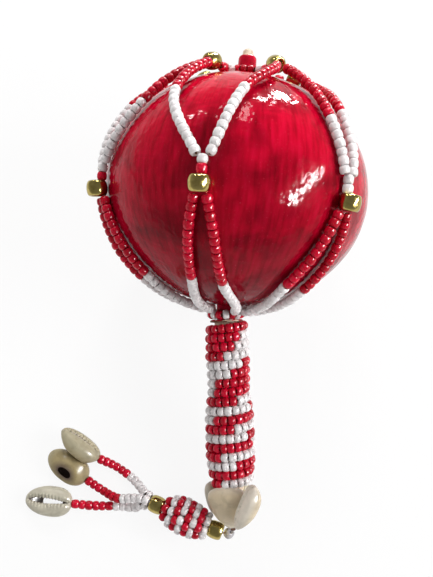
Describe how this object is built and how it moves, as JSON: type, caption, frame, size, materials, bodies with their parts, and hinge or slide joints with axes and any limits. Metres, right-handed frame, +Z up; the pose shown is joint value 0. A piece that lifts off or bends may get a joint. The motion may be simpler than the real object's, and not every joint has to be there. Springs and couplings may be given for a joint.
{
  "type": "beaded maraca",
  "caption": "Gourd rattle on a bead-wrapped wooden handle, with a bead net over the gourd, cowries round the handle's end and a cowrie tassel.",
  "frame": {"origin": "on the table, under the middle of the box round the maraca without its tassel", "axes": "+Z up from the table it lies on, +Y from the handle's end to the gourd, +X to the right as seen from the handle's end"},
  "size_m": [0.1491, 0.1934, 0.1109],
  "materials": {
    "red_lacquer": "gloss red lacquer",
    "bare_wood": "bare, sanded",
    "red_glass": "opaque gloss",
    "white_glass": "opaque gloss",
    "gold_metal": "polished",
    "cowrie_shell": "natural shell gloss",
    "brown_thread": "waxed",
    "dry_seed": "dry seed coat"
  },
  "bodies": {
    "maraca": {"crown_bead_ring": "white_glass", "crown_gold_bead_1": "gold_metal", "crown_gold_bead_2": "gold_metal", "crown_gold_bead_3": "gold_metal", "crown_gold_bead_4": "gold_metal", "crown_gold_bead_5": "gold_metal", "end_cowrie_back": "cowrie_shell", "end_cowrie_front": "cowrie_shell", "end_cowrie_left": "cowrie_shell", "end_cowrie_right": "cowrie_shell", "gourd_shell": "red_lacquer", "handle_bead_wrap": "red_glass", "handle_stick": "bare_wood", "lower_string_back_left_left": "red_glass", "lower_string_back_left_right": "red_glass", "lower_string_back_right_left": "red_glass", "lower_string_back_right_right": "red_glass", "lower_string_front_left": "red_glass", "lower_string_front_right": "red_glass", "lower_string_left_left": "red_glass", "lower_string_left_right": "red_glass", "lower_string_right_left": "red_glass", "lower_string_right_right": "red_glass", "neck_bead_ring": "white_glass", "tail_thread": "brown_thread", "top_plug": "red_lacquer", "upper_string_back_left_left": "white_glass", "upper_string_back_left_right": "white_glass", "upper_string_back_right_left": "white_glass", "upper_string_back_right_right": "white_glass", "upper_string_front_left": "white_glass", "upper_string_front_right": "white_glass", "upper_string_left_left": "white_glass", "upper_string_left_right": "white_glass", "upper_string_right_left": "white_glass", "upper_string_right_right": "white_glass", "waist_gold_bead_back_left": "gold_metal", "waist_gold_bead_back_right": "gold_metal", "waist_gold_bead_front": "gold_metal", "waist_gold_bead_left": "gold_metal", "waist_gold_bead_right": "gold_metal"},
    "tassel_knot": {"knot_bead": "white_glass"},
    "tassel_bobbin": {"tassel_gold_bead_upper": "gold_metal", "bobbin_core": "bare_wood", "bobbin_bead_sleeve": "red_glass", "tassel_gold_bead_lower": "gold_metal"},
    "tassel_string_1": {"tassel_string_1": "red_glass"},
    "tassel_cowrie_1": {"tassel_cowrie_1": "cowrie_shell"},
    "tassel_string_2": {"tassel_string_2": "red_glass"},
    "tassel_cowrie_2": {"tassel_cowrie_2": "cowrie_shell"},
    "tassel_string_3": {"tassel_string_3": "red_glass"},
    "tassel_cowrie_3": {"tassel_cowrie_3": "cowrie_shell"},
    "rattle_seed_1": {"rattle_seed_1": "dry_seed"},
    "rattle_seed_2": {"rattle_seed_2": "dry_seed"},
    "rattle_seed_3": {"rattle_seed_3": "dry_seed"},
    "rattle_seed_4": {"rattle_seed_4": "dry_seed"},
    "rattle_seed_5": {"rattle_seed_5": "dry_seed"},
    "rattle_seed_6": {"rattle_seed_6": "dry_seed"},
    "rattle_seed_7": {"rattle_seed_7": "dry_seed"}
  },
  "joints": [
    {"name": "tassel_swing", "type": "hinge", "parent": "maraca", "child": "tassel_knot", "pos_m": [-0.00555, -0.09568, 0.00504], "axis": [0, 0, 1], "range_deg": [0, 150]},
    {"name": "tassel_lift", "type": "hinge", "parent": "tassel_knot", "child": "tassel_bobbin", "pos_m": [-0.00555, -0.09568, 0.00504], "axis": [0.4003, 0.9164, 0], "range_deg": [-65, 0]},
    {"name": "tassel_string_1_swing", "type": "hinge", "parent": "tassel_bobbin", "child": "tassel_string_1", "pos_m": [-0.03793, -0.08013, 0.00696], "axis": [0, 0, 1], "range_deg": [-30, 0]},
    {"name": "tassel_cowrie_1_swing", "type": "hinge", "parent": "tassel_string_1", "child": "tassel_cowrie_1", "pos_m": [-0.06162, -0.06332, 0.00638], "axis": [0, 0, 1], "range_deg": [-12, 6]},
    {"name": "tassel_string_2_swing", "type": "hinge", "parent": "tassel_bobbin", "child": "tassel_string_2", "pos_m": [-0.03879, -0.0821, 0.01068], "axis": [0, 0, 1], "range_deg": [-1, 3]},
    {"name": "tassel_cowrie_2_swing", "type": "hinge", "parent": "tassel_string_2", "child": "tassel_cowrie_2", "pos_m": [-0.06704, -0.07183, 0.0042], "axis": [0, 0, 1], "range_deg": [-3, 13]},
    {"name": "tassel_string_3_swing", "type": "hinge", "parent": "tassel_bobbin", "child": "tassel_string_3", "pos_m": [-0.03965, -0.08407, 0.00696], "axis": [0, 0, 1], "range_deg": [-2, 30]},
    {"name": "tassel_cowrie_3_swing", "type": "hinge", "parent": "tassel_string_3", "child": "tassel_cowrie_3", "pos_m": [-0.07309, -0.08186, 0.00375], "axis": [0, 0, 1], "range_deg": [-9, 25]},
    {"name": "rattle_seed_1_flight", "type": "slide", "parent": "maraca", "child": "rattle_seed_1", "axis": [0, 0, 1], "range_m": [0, 0.087]},
    {"name": "rattle_seed_2_flight", "type": "slide", "parent": "maraca", "child": "rattle_seed_2", "axis": [0, 0, 1], "range_m": [0, 0.087]},
    {"name": "rattle_seed_3_flight", "type": "slide", "parent": "maraca", "child": "rattle_seed_3", "axis": [0, 0, 1], "range_m": [0, 0.087]},
    {"name": "rattle_seed_4_flight", "type": "slide", "parent": "maraca", "child": "rattle_seed_4", "axis": [0, 0, 1], "range_m": [0, 0.087]},
    {"name": "rattle_seed_5_flight", "type": "slide", "parent": "maraca", "child": "rattle_seed_5", "axis": [0, 0, 1], "range_m": [0, 0.087]},
    {"name": "rattle_seed_6_flight", "type": "slide", "parent": "maraca", "child": "rattle_seed_6", "axis": [0, 0, 1], "range_m": [0, 0.087]},
    {"name": "rattle_seed_7_flight", "type": "slide", "parent": "maraca", "child": "rattle_seed_7", "axis": [0, 0, 1], "range_m": [0, 0.087]}
  ]
}
